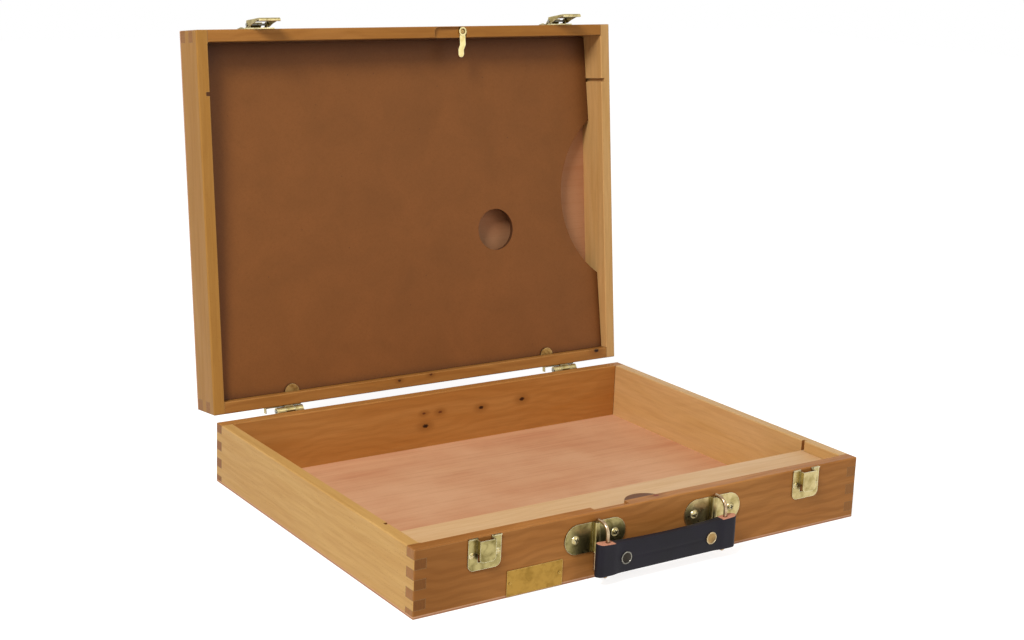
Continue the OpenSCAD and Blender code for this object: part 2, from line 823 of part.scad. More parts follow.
module ring_plate(side) {
    r = 1.6;
    color(BRASS) latch_frame(side * ring_x, plate_z) difference() {
        union() {
            translate([0, plate_t, 0]) rotate([90, 0, 0]) linear_extrude(plate_t) stadium(plate_w, plate_h);
            translate([0, 0, -plate_h / 2]) linear_extrude(plate_h) {
                translate([-channel_w / 2, 0]) square([channel_w, channel_p - r]);
                translate([-channel_w / 2 + r, 0]) square([channel_w - 2 * r, channel_p]);
                for (sx = [-1, 1]) translate([sx * (channel_w / 2 - r), channel_p - r]) circle(r);
            }
        }
        translate([0, channel_c, 0]) cylinder(d = wire_d + 2 * fit, h = plate_h + 2 * over, center = true);
        plate_screw_places() translate([0, 0, -over]) cylinder(r = screw_r + pilot_gap, h = plate_t + 2 * over);
    }
}

module ring_plate_screws() {
    color(BRASS) ring_plate_at() plate_screw_places() rotate([0, 0, 35])
        dome_screw(plate_head_r, plate_head_h, screw_len + plate_t);
}

// Closed wire ring, seen from its side: X out from the channel, Y up from the plate's middle
ring_top = plate_h / 2 + 0.1 + bend_r;
ring_low = strap_z0 - plate_z - 0.1 - bend_r;

module wire_run(x, y, len) {
    translate([x, y, 0]) rotate([-90, 0, 0]) cylinder(d = wire_d, h = len);
}

module wire_bend(x, y, r, start) {
    translate([x, y, 0]) rotate([0, 0, start]) rotate_extrude(angle = 90)
        translate([r, 0]) circle(d = wire_d);
}

module ring_wire() {
    wire_run(0, ring_low + bend_r, ring_top - ring_low - 2 * bend_r);
    wire_run(ring_reach, ring_low + bend_r, ring_top - ring_low - bend_r - droop_r);
    wire_bend(bend_r, ring_low + bend_r, bend_r, 180);
    wire_bend(ring_reach - bend_r, ring_low + bend_r, bend_r, 270);
    wire_bend(bend_r, ring_top - bend_r, bend_r, 90);
    wire_bend(ring_reach - droop_r, ring_top - droop_r, droop_r, 0);
    translate([bend_r, ring_low, 0]) rotate([0, 90, 0])
        cylinder(d = wire_d, h = ring_reach - 2 * bend_r);
    translate([bend_r, ring_top, 0]) rotate([0, 90, 0])
        cylinder(d = wire_d, h = ring_reach - bend_r - droop_r);
}

module ring(side) {
    color(BRASS) translate([side * ring_x, ring_y, plate_z]) rotate([90, 0, -90]) ring_wire();
}

// Strap outline seen from above: a loop at each end round the ring's bar
module strap_plan() {
    round_rect(2 * (ring_x - strap_past / 2), strap_t, 0.8);
    for (sx = [-1, 1]) translate([sx * (ring_x + (strap_past - 6) / 2), 0])
        stadium(strap_past + 6, strap_loop_t);
}

module strap_face() {
    w = 2 * (ring_x + strap_past) + 2;
    mid = strap_z0 + strap_h / 2;
    sag_r = (w * w / 4 + strap_sag * strap_sag) / (2 * strap_sag);
    difference() {
        translate([0, mid]) round_rect(2 * (ring_x + strap_past), strap_h, 2);
        translate([0, strap_z1 - strap_sag + sag_r]) circle(sag_r, $fn = 360);
    }
}

module handle_strap() {
    color(LEATHER) difference() {
        intersection() {
            translate([0, bar_y, strap_z0]) linear_extrude(strap_h) strap_plan();
            translate([0, bar_y, 0]) rotate([90, 0, 0])
                linear_extrude(2 * strap_loop_t, center = true) strap_face();
        }
        for (sx = [-1, 1]) translate([sx * ring_x, bar_y, strap_z0 - over])
            linear_extrude(strap_h + 2 * over) {
                circle(loop_r);
                translate([sx * 2.6, 0]) stadium(5.2 + 2 * loop_r, 2 * loop_r);
            }
        strap_rivet_places() cylinder(r = screw_r + pilot_gap, h = 2 * strap_loop_t, center = true);
    }
}

module strap_rivet_places() {
    for (sx = [-1, 1])
        translate([sx * (ring_x - rivet_in), bar_y, (strap_z0 + strap_z1 - strap_sag) / 2])
            rotate([90, 0, 0]) children();
}

module handle_rivets() {
    head_h = 1.0;
    ball_r = (rivet_r * rivet_r + head_h * head_h) / (2 * head_h);
    color(BRASS) strap_rivet_places() for (end = [0, 1]) mirror([0, 0, end]) {
        translate([0, 0, strap_t / 2]) intersection() {
            translate([0, 0, head_h - ball_r]) sphere(ball_r, $fn = 96);
            cylinder(r = rivet_r, h = head_h);
        }
        cylinder(r = screw_r, h = strap_t / 2);
    }
}

// Bare plate

module nameplate_at() {
    latch_frame(name_x, panel_t + name_h / 2 - 1) children();
}

module nameplate_pin_places() {
    for (sx = [-1, 1]) translate([sx * (name_w / 2 - 2.8), name_t, 0]) rotate([90, 0, 0]) children();
}

module nameplate_pin_holes() {
    nameplate_pin_places() cylinder(r = 0.6 + pilot_gap, h = name_t + 5 + pass);
}

module nameplate() {
    color(BRASS) nameplate_at() difference() {
        translate([0, name_t, 0]) rotate([90, 0, 0]) linear_extrude(name_t) round_rect(name_w, name_h, 0.6);
        nameplate_pin_places() translate([0, 0, -over]) cylinder(r = 0.6 + pilot_gap, h = name_t + 2 * over);
    }
}

module nameplate_pins() {
    color(BRASS) nameplate_at() nameplate_pin_places() {
        translate([0, 0, -0.4]) cylinder(r = 1.0, h = 0.4);
        cylinder(r = 0.6, h = name_t + 5);
    }
}

base_front_board();
base_rear_board();
base_side_board(-1);  // base_left_board
base_side_board(1);  // base_right_board
base_bottom_panel();
rim_rest();
rim_pin();
lid_front_board();
lid_rear_board();
lid_side_board(-1);  // lid_left_board
lid_side_board(1);  // lid_right_board
lid_top_panel();
palette();
palette_discs();
palette_clip();
palette_clip_screw();
hinge_base_leaf(-1);  // hinge_left_base_leaf
hinge_lid_leaf(-1);  // hinge_left_lid_leaf
hinge_pin(-1);  // hinge_left_pin
hinge_base_leaf(1);  // hinge_right_base_leaf
hinge_lid_leaf(1);  // hinge_right_lid_leaf
hinge_pin(1);  // hinge_right_pin
color(BRASS) hinge_screws(-1);  // hinge_base_screws
color(BRASS) lid_pose() hinge_screws(1);  // hinge_lid_screws
keeper(-1);  // keeper_left
keeper(1);  // keeper_right
keeper_screws();
hasp_plate(-1);  // hasp_plate_left
hasp_plate(1);  // hasp_plate_right
hasp_plate_screws();
hasp(-1, hasp_rest_left);  // hasp_left
hasp(1, hasp_rest_right);  // hasp_right
hasp_pin(-1);  // hasp_pin_left
hasp_pin(1);  // hasp_pin_right
ring_plate(-1);  // ring_plate_left
ring_plate(1);  // ring_plate_right
ring_plate_screws();
ring(-1);  // ring_left
ring(1);  // ring_right
handle_strap();
handle_rivets();
nameplate();
nameplate_pins();
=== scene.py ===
"""Looks of the brush box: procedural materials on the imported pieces, detailed meshes for the
strap, its rivets and the ring plates' screws, a brush compartment, studio light and a camera."""

import math

import bmesh
import bpy
from mathutils import Matrix, Vector


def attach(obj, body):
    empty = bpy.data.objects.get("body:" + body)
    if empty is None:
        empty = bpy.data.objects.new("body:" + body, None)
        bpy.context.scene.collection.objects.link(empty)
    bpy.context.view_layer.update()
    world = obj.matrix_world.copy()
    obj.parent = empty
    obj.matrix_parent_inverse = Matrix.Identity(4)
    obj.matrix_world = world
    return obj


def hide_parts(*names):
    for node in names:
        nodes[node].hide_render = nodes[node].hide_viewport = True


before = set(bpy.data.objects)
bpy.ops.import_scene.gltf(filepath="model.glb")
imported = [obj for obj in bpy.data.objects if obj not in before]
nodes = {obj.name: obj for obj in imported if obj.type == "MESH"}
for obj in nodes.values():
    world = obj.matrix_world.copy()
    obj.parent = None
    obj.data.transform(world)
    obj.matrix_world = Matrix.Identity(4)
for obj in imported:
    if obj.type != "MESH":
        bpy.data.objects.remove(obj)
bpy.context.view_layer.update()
scene = bpy.context.scene
mm = 0.001

# Box, in millimetres, with the values of the CAD source
box_w = 420.0
box_d = 318.0
base_h = 51.4
lid_h = 33.5
wall = 10.0
lid_gap = 0.3
lid_open = 96.5
finger_h = 7.45
panel_t = 2.4
hinge_y = box_d / 2 + 4.0
hinge_z = base_h + lid_gap / 2

# Handle: strap between two rings, and the ring plates' screws
ring_x = 56.0
bar_y = -174.6
strap_z0 = 8.4
strap_z1 = 34.0
strap_sag = 2.6
strap_past = 9.6
strap_loop_r = 4.4
strap_slim = 3.3
bar_hole_r = 1.7
rivet_in = 15.5
rivet_seat = 3.15
rivet_face_r = 3.95
plate_t = 1.0
plate_z = base_h - 18.2
plate_screw_x = 18.0

# Brush compartment: side grooves from the front, and the top of its cover
groove_y = 52.0
groove_low = base_h - 11.0
cover_top = 42.9
board_play = 0.3
seat_gap = 0.1
groove_bite = 3.2
divider_half = 1.5


def srgb(text):
    """Linear colour of a #RRGGBB text."""
    out = []
    for i in (1, 3, 5):
        c = int(text[i:i + 2], 16) / 255
        out.append(c / 12.92 if c <= 0.04045 else ((c + 0.055) / 1.055) ** 2.4)
    return (*out, 1.0)


class Graph:
    """Short names for building one node material."""

    def __init__(self, name):
        self.mat = bpy.data.materials.new(name)
        self.mat.use_nodes = True
        self.tree = self.mat.node_tree
        self.shader = self.tree.nodes["Principled BSDF"]
        self.texco = self.tree.nodes.new("ShaderNodeTexCoord")

    def node(self, kind, **values):
        made = self.tree.nodes.new(kind)
        for key, value in values.items():
            setattr(made, key, value)
        return made

    def put(self, socket, value):
        if isinstance(value, bpy.types.NodeSocket):
            self.tree.links.new(value, socket)
        else:
            socket.default_value = value

    def surface(self, color, roughness, normal, specular=None):
        """Feeds the shader; the specular level is the same all over."""
        self.put(self.shader.inputs["Base Color"], color)
        self.put(self.shader.inputs["Roughness"], roughness)
        self.put(self.shader.inputs["Normal"], normal)
        if specular is not None:
            self.shader.inputs["Specular IOR Level"].default_value = specular
        return self.mat

    def math(self, op, a, b=0.0, clamp=False):
        n = self.node("ShaderNodeMath", operation=op, use_clamp=clamp)
        self.put(n.inputs[0], a)
        self.put(n.inputs[1], b)
        return n.outputs[0]

    def vmath(self, op, a, b=(0.0, 0.0, 0.0)):
        n = self.node("ShaderNodeVectorMath", operation=op)
        self.put(n.inputs[0], a)
        self.put(n.inputs[1], b)
        return n.outputs["Value"] if op in ("DISTANCE", "LENGTH", "DOT_PRODUCT") else n.outputs[0]

    def split(self, vec):
        n = self.node("ShaderNodeSeparateXYZ")
        self.put(n.inputs[0], vec)
        return n.outputs[0], n.outputs[1], n.outputs[2]

    def join(self, x, y, z):
        n = self.node("ShaderNodeCombineXYZ")
        for socket, value in zip(n.inputs, (x, y, z)):
            self.put(socket, value)
        return n.outputs[0]

    def noise(self, vec, scale=1.0, detail=2.0, rough=0.5, twist=0.0):
        n = self.node("ShaderNodeTexNoise")
        self.put(n.inputs["Vector"], vec)
        n.inputs["Scale"].default_value = scale
        n.inputs["Detail"].default_value = detail
        n.inputs["Roughness"].default_value = rough
        n.inputs["Distortion"].default_value = twist
        return n.outputs["Fac"]

    def stretched(self, vec, lengths, **values):
        """Noise with a feature length along each axis, in millimetres."""
        return self.noise(self.vmath("MULTIPLY", vec, tuple(1 / a for a in lengths)), **values)

    def cells(self, vec, scale=1.0):
        n = self.node("ShaderNodeTexVoronoi")
        self.put(n.inputs["Vector"], vec)
        n.inputs["Scale"].default_value = scale
        return n.outputs["Distance"], n.outputs["Color"]

    def span(self, value, low, high, a=0.0, b=1.0, smooth=False):
        """Maps low..high to a..b, held at both ends."""
        n = self.node("ShaderNodeMapRange", clamp=True)
        if smooth:
            n.interpolation_type = "SMOOTHSTEP"
        for socket, v in zip(n.inputs[:5], (value, low, high, a, b)):
            self.put(socket, v)
        return n.outputs[0]

    def mix(self, fac, a, b):
        n = self.node("ShaderNodeMix", data_type="RGBA")
        self.put(n.inputs[0], fac)
        self.put(n.inputs[6], a)
        self.put(n.inputs[7], b)
        return n.outputs[2]

    def tint(self, color, mask, amount, tone):
        """Lays a tone over the colour where the mask is, by the given amount."""
        return self.mix(self.math("MULTIPLY", mask, amount), color, srgb(tone))

    def bump(self, height, strength, distance):
        n = self.node("ShaderNodeBump")
        n.inputs["Strength"].default_value = strength
        n.inputs["Distance"].default_value = distance
        self.put(n.inputs["Height"], height)
        return n.outputs[0]

    def edges(self, radius):
        """1 on the outer edges of a piece, within the given radius, 0 on its flats."""
        round_normal = self.node("ShaderNodeBevel", samples=4)
        round_normal.inputs["Radius"].default_value = radius
        flat_normal = self.node("ShaderNodeNewGeometry").outputs["Normal"]
        return self.span(self.vmath("DISTANCE", round_normal.outputs[0], flat_normal), 0.08, 0.5)

    def open_sky(self, distance):
        """1 where nothing is near, towards 0 in gaps and corners."""
        n = self.node("ShaderNodeAmbientOcclusion", samples=6)
        n.inputs["Distance"].default_value = distance
        return n.outputs["AO"]

    def place(self, lid=False):
        """Position in millimetres and normal; lid pieces are turned back to the shut pose."""
        pos, nor = self.texco.outputs["Object"], self.texco.outputs["Normal"]
        if lid:
            turned = []
            for socket, centre in ((pos, (0, hinge_y * mm, hinge_z * mm)), (nor, (0, 0, 0))):
                n = self.node("ShaderNodeVectorRotate", rotation_type="X_AXIS")
                self.put(n.inputs["Vector"], socket)
                n.inputs["Center"].default_value = centre
                n.inputs["Angle"].default_value = math.radians(lid_open)
                turned.append(n.outputs[0])
            pos, nor = turned
        return self.vmath("MULTIPLY", pos, (1000, 1000, 1000)), nor


# Wood and boards


def near(g, value, centre, half, soft):
    """1 within half of centre, falling to 0 over soft."""
    gap = g.math("ABSOLUTE", g.math("SUBTRACT", value, centre))
    return g.span(gap, half, half + soft, 1.0, 0.0)


def corner_seams(g, pos, lid):
    """Fine dark lines where the fingers of two boards meet."""
    rim = base_h + lid_gap if lid else base_h
    corner_x = box_w / 2 - wall
    corner_y = box_d / 2 - wall
    reach = 0.4
    x, y, z = g.split(pos)
    ax, ay = g.math("ABSOLUTE", x), g.math("ABSOLUTE", y)
    depth = g.math("SUBTRACT", z, rim) if lid else g.math("SUBTRACT", rim, z)
    row = g.math("FLOOR", g.math("DIVIDE", depth, finger_h))
    odd = g.math("MODULO", row, 2.0)
    even = g.math("SUBTRACT", 1.0, odd)
    at_x, at_y = (even, odd) if lid else (odd, even)
    frac = g.math("FRACT", g.math("DIVIDE", depth, finger_h))
    edge = g.math("MINIMUM", frac, g.math("SUBTRACT", 1.0, frac))
    rows = g.math("MULTIPLY", g.span(edge, 0.012, 0.05, 1.0, 0.0), g.math("GREATER_THAN", depth, 1.0))
    on_x = g.math("MULTIPLY", near(g, ax, corner_x, 0.1, 0.3), at_x)
    on_y = g.math("MULTIPLY", near(g, ay, corner_y, 0.1, 0.3), at_y)
    lines = g.math("MAXIMUM", rows, g.math("MAXIMUM", on_x, on_y))
    zone = g.math("MULTIPLY", g.math("GREATER_THAN", ax, corner_x - reach),
                  g.math("GREATER_THAN", ay, corner_y - reach))
    return g.math("MULTIPLY", lines, zone, clamp=True)


def end_grain(g, pos, pores, end, dark):
    """Colour of boards cut across: short rays and darker pores."""
    rays = g.stretched(pos, (1.2, 1.2, 9), rough=0.6)
    tone = g.mix(g.span(rays, 0.35, 0.8, 0.0, 0.45), srgb(end), srgb(dark))
    return g.tint(tone, g.span(pores, 0.5, 0.75), 0.25, "#4A2A14")


def add_knots(g, color, pos, pores, along, knots, dark):
    """Small oval knots with a darker halo, uneven at their edges."""
    longer = 1.7
    shape = (1 / longer, 1, 1) if along == "X" else (1, 1 / longer, 1)
    for kx, ky, kz, radius, tone in knots:
        offset = g.vmath("MULTIPLY", g.vmath("SUBTRACT", pos, (kx, ky, kz)), shape)
        uneven = g.math("MULTIPLY", g.math("SUBTRACT", pores, 0.5), radius)
        gap = g.math("ADD", g.vmath("LENGTH", offset), uneven)
        halo = g.span(gap, radius * 0.9, radius * 3.4, 0.5, 0.0, smooth=True)
        core = g.span(gap, radius * 0.45, radius, 1.0, 0.0, smooth=True)
        color = g.mix(halo, color, srgb(dark))
        color = g.mix(core, color, srgb(tone))
    return color


def wood(name, along, base, dark, light, end, lid=False, seed=0.0, knots=(), figure=0.35,
         flecks=0.55, shade=None):
    """Varnished beech: broad figure, fine fibres, short flecks, end grain, knots and joint lines.
    shade is (x where it starts, x where it is full, amount) of a darker stretch."""
    g = Graph(name)
    pos, nor = g.place(lid)
    x, y, z = g.split(pos)
    grain = g.join(x, y, z) if along == "X" else g.join(y, x, z)
    grain = g.vmath("ADD", grain, (seed * 137.0, seed * 61.0, seed * 23.0))
    broad = g.stretched(grain, (170, 22, 22), detail=3.0, rough=0.55, twist=0.9)
    streak = g.stretched(grain, (75, 2.6, 2.6), detail=3.0, rough=0.6, twist=0.3)
    fibre = g.stretched(grain, (11, 0.5, 0.5), rough=0.6)
    bend = g.stretched(grain, (95, 40, 40))
    ring_gap = 9.0
    ring_bend = 46.0
    _, gy, gz = g.split(grain)
    swing = g.math("ADD", g.math("ADD", gz, gy), g.math("MULTIPLY", bend, ring_bend))
    rings = g.math("SINE", g.math("MULTIPLY", swing, 2 * math.pi / ring_gap))
    rings = g.span(rings, -0.6, 1.0, 0.0, 1.0, smooth=True)
    color = g.mix(g.span(broad, 0.32, 0.68), srgb(light), srgb(base))
    color = g.tint(color, rings, figure, dark)
    color = g.tint(color, g.span(streak, 0.42, 0.8), 0.24, dark)
    color = g.tint(color, g.span(fibre, 0.45, 0.8), 0.16, dark)
    cell, pick = g.cells(g.vmath("MULTIPLY", grain, (1 / 3.4, 1 / 0.95, 1 / 0.95)))
    some = g.span(g.split(pick)[0], 0.52, 0.56)
    fleck = g.math("MULTIPLY", g.span(cell, 0.12, 0.2, 1.0, 0.0), some)
    color = g.tint(color, fleck, flecks, dark)
    if shade:
        start, full, amount = shade
        color = g.mix(g.span(x, start, full, 0.0, amount, smooth=True), color, srgb(dark))
    axis = (1, 0, 0) if along == "X" else (0, 1, 0)
    cut = g.span(g.math("ABSOLUTE", g.vmath("DOT_PRODUCT", nor, axis)), 0.7, 0.8)
    pores = g.noise(pos, 0.9, 3.0, 0.7)
    color = g.mix(cut, color, end_grain(g, pos, pores, end, dark))
    color = add_knots(g, color, pos, pores, along, knots, dark)
    seams = corner_seams(g, pos, lid)
    color = g.tint(color, seams, 0.62, "#5A3216")
    # Lighter edges: partly wear, partly a painted highlight on the board edges.
    color = g.tint(color, g.edges(0.0006), 0.3, "#E2B778")
    height = g.math("ADD", g.math("MULTIPLY", fibre, 0.5), g.math("MULTIPLY", fleck, -0.6))
    height = g.math("ADD", height, g.math("MULTIPLY", seams, -1.5))
    return g.surface(color, g.span(streak, 0.3, 0.8, 0.35, 0.52), g.bump(height, 0.25, 0.0001), 0.12)


def plywood(name, lid=False, aged=0.0):
    """Thin plywood: pinkish face veneer with faint streaks, and plies on its edges."""
    g = Graph(name)
    pos, nor = g.place(lid)
    broad = g.stretched(pos, (190, 16, 16), detail=4.0, rough=0.55, twist=0.7)
    streak = g.stretched(pos, (60, 1.8, 1), detail=3.0, rough=0.65)
    pore = g.stretched(pos, (5, 0.45, 1), rough=0.6)
    blot = g.noise(pos, 0.012, 3.0, 0.5)
    color = g.mix(g.span(broad, 0.3, 0.7), srgb("#D9A57C"), srgb("#CB9069"))
    color = g.mix(g.span(blot, 0.4, 0.65), color, srgb("#DBA981"))
    color = g.tint(color, g.span(streak, 0.5, 0.8), 0.4, "#B67B55")
    color = g.tint(color, g.span(pore, 0.6, 0.75), 0.25, "#9C6542")
    color = g.mix(aged, color, srgb("#8A4E1E"))
    edge = g.span(g.math("ABSOLUTE", g.split(nor)[2]), 0.35, 0.5, 1.0, 0.0)
    panel_low = base_h + lid_gap + lid_h - panel_t if lid else 0.0
    middle = near(g, g.split(pos)[2], panel_low + panel_t / 2, 0.35, 0.12)
    plies = g.mix(middle, srgb("#D3A07C"), srgb("#B07C58"))
    plies = g.tint(plies, g.span(pore, 0.5, 0.7), 0.35, "#9C6542")
    color = g.mix(edge, color, plies)
    return g.surface(color, g.span(streak, 0.3, 0.8, 0.5, 0.64), g.bump(pore, 0.18, 0.0001), 0.15)


def hardboard():
    """Oiled hardboard palette: fibre mottling, faint stains, dark cut edges, and painted shade in its
    corners and next to the rails.
    """
    g = Graph("palette_board")
    pos, nor = g.place(True)
    mottle = g.noise(pos, 0.022, 5.0, 0.6, 0.4)
    fibres = g.noise(pos, 0.55, 4.0, 0.7, 1.2)
    specks, pick = g.cells(pos, 0.16)
    color = g.mix(g.span(mottle, 0.3, 0.7), srgb("#855021"), srgb("#7A491C"))
    color = g.tint(color, g.span(fibres, 0.45, 0.75), 0.35, "#683C16")
    rare = g.span(g.split(pick)[1], 0.9, 0.93)
    color = g.mix(g.math("MULTIPLY", g.span(specks, 0.06, 0.1, 0.7, 0.0), rare), color, srgb("#4A2B17"))
    facing = g.math("ABSOLUTE", g.split(nor)[2])
    color = g.mix(g.span(facing, 0.5, 0.8, 1.0, 0.0), color, srgb("#5A361D"))
    # Painted shade: darker where the lid's rails and corners are near, as their shadow on the board.
    color = g.mix(g.span(g.open_sky(0.03), 0.4, 0.85, 0.75, 0.0), color, srgb("#2A1407"))
    return g.surface(color, g.span(fibres, 0.3, 0.7, 0.48, 0.62), g.bump(fibres, 0.15, 0.0001), 0.25)


# Metal and leather


def metal(name, base, shade, rough, lid=False, brushed=(1.0, 1.0, 1.0), edge="#F0E8C8"):
    """Stamped sheet metal: slight tarnish, fine scratches, painted shade darkening its recesses and a
    painted highlight brightening its edges.
    """
    g = Graph(name)
    pos, _ = g.place(lid)
    cloud = g.noise(pos, 0.16, 3.0, 0.55, 0.4)
    scratch = g.noise(g.vmath("MULTIPLY", pos, brushed), 3.2, 2.0, 0.6)
    color = g.mix(g.span(cloud, 0.42, 0.72), srgb(base), srgb(shade))
    # Painted shade: the colour goes dark where other surfaces are near, in recesses and in gaps between
    # pieces.
    color = g.mix(g.span(g.open_sky(0.004), 0.35, 0.85, 0.6, 0.0), color, srgb("#2E2612"))
    # Painted highlight: the edges are brightened towards the edge colour, as light caught on them.
    color = g.tint(color, g.edges(0.0005), 0.8, edge)
    g.shader.inputs["Metallic"].default_value = 1.0
    level = g.math("ADD", g.span(cloud, 0.3, 0.7, rough, rough + 0.1),
                   g.span(scratch, 0.5, 0.75, 0.0, 0.09))
    return g.surface(color, level, g.bump(scratch, 0.08, 0.00005))


def leather():
    """Dark strap leather with grain, a worn bloom and a tan cut edge at the loops."""
    g = Graph("strap_leather")
    pos, nor = g.place()
    loop_from = 50.6
    cell, _ = g.cells(pos, 1.15)
    fine = g.noise(pos, 1.9, 4.0, 0.65)
    cloud = g.noise(pos, 0.07, 3.0, 0.5)
    color = g.mix(g.span(cloud, 0.35, 0.7), srgb("#0A060E"), srgb("#100B17"))
    color = g.tint(color, g.span(fine, 0.5, 0.8), 0.4, "#18121F")
    facing_up = g.span(g.split(nor)[2], 0.62, 0.8)
    loop = g.span(g.math("ABSOLUTE", g.split(pos)[0]), loop_from, loop_from + 1.0)
    tan = g.mix(g.span(fine, 0.35, 0.7), srgb("#D79A7C"), srgb("#A8674C"))
    color = g.mix(g.math("MULTIPLY", facing_up, loop), color, tan)
    height = g.math("ADD", g.math("MULTIPLY", cell, 0.7), g.math("MULTIPLY", fine, 0.5))
    return g.surface(color, g.span(fine, 0.3, 0.8, 0.52, 0.7), g.bump(height, 0.35, 0.00018), 0.25)


def dress(names, material):
    """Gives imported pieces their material."""
    for name in names:
        slots = nodes[name].data.materials
        slots.clear()
        slots.append(material)


# Knots: place in millimetres, radius and colour
rear_knots = ((92.0, 149.0, 33.0, 2.2, "#3A1E0E"), (47.0, 149.0, 31.0, 2.0, "#3A1E0E"),
              (-12.0, 149.0, 22.0, 2.3, "#2E180C"), (3.0, 149.0, 33.0, 1.6, "#6B3A1C"),
              (-14.0, 149.0, 34.0, 1.4, "#6B3A1C"))
front_knots = ((6.0, -152.0, 51.4, 1.9, "#7A2A14"),)
hinge_rail_knots = ((-31.0, 152.0, 51.7, 1.3, "#4A2612"), (2.0, 150.5, 51.7, 1.2, "#5A2E14"),
                    (188.0, 150.5, 51.7, 2.2, "#2C160B"))


def dress_boards():
    """Each board's colours: base, dark and light grain, and end grain."""
    # The boards' colours differ: partly their own tone, partly painted shade that makes the base's front
    # and rear boards darker and browner than its side boards.
    dress(["base_front_board"], wood(
        "beech_front", "X", "#AD7036", "#784618", "#B87C40", "#A87442", seed=1.3, knots=front_knots,
        figure=0.22, flecks=0.2, shade=(-110.0, -205.0, 0.45)))
    dress(["base_rear_board"], wood(
        "beech_rear", "X", "#B07436", "#85501F", "#BC8345", "#94602F", seed=2.1, knots=rear_knots,
        figure=0.12, flecks=0.15))
    dress(["base_left_board"], wood(
        "beech_left", "Y", "#C99A57", "#966329", "#D2A664", "#7E4E26", seed=3.7, figure=0.06, flecks=0.6))
    dress(["base_right_board"], wood(
        "beech_right", "Y", "#D0A466", "#A3713B", "#DAB078", "#9A6636", seed=4.9, figure=0.08, flecks=0.35))
    # The rest's dark brown colours are painted shade, much darker than the other beech.
    dress(["rim_rest"], wood(
        "beech_rest", "X", "#6B3F1C", "#4A2A12", "#7A4A22", "#5A3216", seed=9.1))
    dress(["lid_front_board"], wood(
        "beech_lid_front", "X", "#A26A2A", "#774418", "#AC7436", "#9B6834", lid=True, seed=5.2,
        figure=0.12, flecks=0.2))
    dress(["lid_rear_board"], wood(
        "beech_lid_rear", "X", "#A56E32", "#7C4A1C", "#B07A3E", "#9B6834", lid=True, seed=6.4,
        knots=hinge_rail_knots, figure=0.2, flecks=0.2))
    dress(["lid_left_board"], wood(
        "beech_lid_left", "Y", "#A87634", "#80501F", "#B28140", "#96632C", lid=True, seed=7.5,
        figure=0.06, flecks=0.4))
    dress(["lid_right_board"], wood(
        "beech_lid_right", "Y", "#C99A5C", "#9C6A36", "#D3A76C", "#A87440", lid=True, seed=8.6,
        figure=0.08, flecks=0.35))
    dress(["base_bottom_panel"], plywood("floor_plywood"))
    dress(["lid_top_panel"], plywood("lid_plywood", lid=True, aged=0.5))
    dress(["palette"], hardboard())


pale = metal("pale_brass", "#C0AF7C", "#94834E", 0.26, edge="#F4EED0")


def dress_metal():
    pale_lid = metal("pale_brass_lid", "#BCAB76", "#8A7944", 0.26, lid=True, edge="#F4EED0")
    shaded = metal("shaded_brass", "#A89A66", "#6E6236", 0.26, edge="#F4EED0")
    plate = metal("nameplate_brass", "#A27E3A", "#8A692B", 0.36, brushed=(0.05, 1.0, 1.0), edge="#E0C27A")
    wire = metal("ring_brass", "#C0A987", "#86694A", 0.2, edge="#E8DCC4")
    steel = metal("pin_steel", "#9C9A90", "#6A6862", 0.28, edge="#E8E6DE")
    clip = metal("clip_brass", "#D8C78C", "#BCA765", 0.26, lid=True, edge="#F6EECB")
    disc = metal("disc_brass", "#B4945A", "#84612F", 0.34, lid=True, edge="#DCC58C")
    dress(["hinge_left_base_leaf", "hinge_right_base_leaf", "hinge_base_screws", "keeper_right",
           "keeper_screws", "ring_plate_right"], pale)
    # The left keeper and ring plate take the darker brass: a painted reflection, darker than on the
    # right-hand pieces.
    dress(["keeper_left", "ring_plate_left"], shaded)
    dress(["hinge_left_lid_leaf", "hinge_right_lid_leaf", "hinge_lid_screws", "hasp_plate_left",
           "hasp_plate_right", "hasp_plate_screws", "hasp_left", "hasp_right"], pale_lid)
    dress(["palette_clip"], clip)
    dress(["palette_discs", "palette_clip_screw"], disc)
    dress(["nameplate", "nameplate_pins"], plate)
    dress(["ring_left", "ring_right"], wire)
    dress(["hinge_left_pin", "hinge_right_pin", "hasp_pin_left", "hasp_pin_right", "rim_pin"], steel)


# General mesh work


def smooth_object(obj, angle=35.0):
    """Smooth faces, with edges sharper than the angle kept sharp."""
    for poly in obj.data.polygons:
        poly.use_smooth = True
    obj.data.set_sharp_from_angle(angle=math.radians(angle))


def plain_object(name, bm):
    """An object from a bmesh, which is used up."""
    mesh = bpy.data.meshes.new(name)
    bm.to_mesh(mesh)
    bm.free()
    obj = bpy.data.objects.new(name, mesh)
    scene.collection.objects.link(obj)
    return obj


def new_object(name, bm, material, body):
    """A piece that rides on a body and takes its finish from a slot."""
    bmesh.ops.recalc_face_normals(bm, faces=bm.faces)
    obj = plain_object(name, bm)
    obj.data.materials.append(material)
    smooth_object(obj)
    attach(obj, body)
    return obj


def prism(bm, outline, low, high):
    """Upright solid from a plan outline, in millimetres."""
    bottom = [bm.verts.new((x * mm, y * mm, low * mm)) for x, y in outline]
    top = [bm.verts.new((x * mm, y * mm, high * mm)) for x, y in outline]
    bm.faces.new(bottom[::-1])
    bm.faces.new(top)
    for i in range(len(outline)):
        j = (i + 1) % len(outline)
        bm.faces.new((bottom[i], bottom[j], top[j], top[i]))


def subtract(obj, cutters, angle=35.0, crossing=False):
    """Cuts each bmesh out of the piece; crossing says that one cutter's own solids overlap."""
    tools = []
    for cutter in cutters:
        tool = plain_object("cutter", cutter)
        mod = obj.modifiers.new("cut", "BOOLEAN")
        mod.operation = "DIFFERENCE"
        mod.solver = "EXACT"
        mod.use_self = crossing
        mod.object = tool
        tools.append(tool)
    bpy.context.view_layer.update()
    made = bpy.data.meshes.new_from_object(obj.evaluated_get(bpy.context.evaluated_depsgraph_get()))
    obj.modifiers.clear()
    obj.data = made
    for tool in tools:
        bpy.data.objects.remove(tool)
    smooth_object(obj, angle)


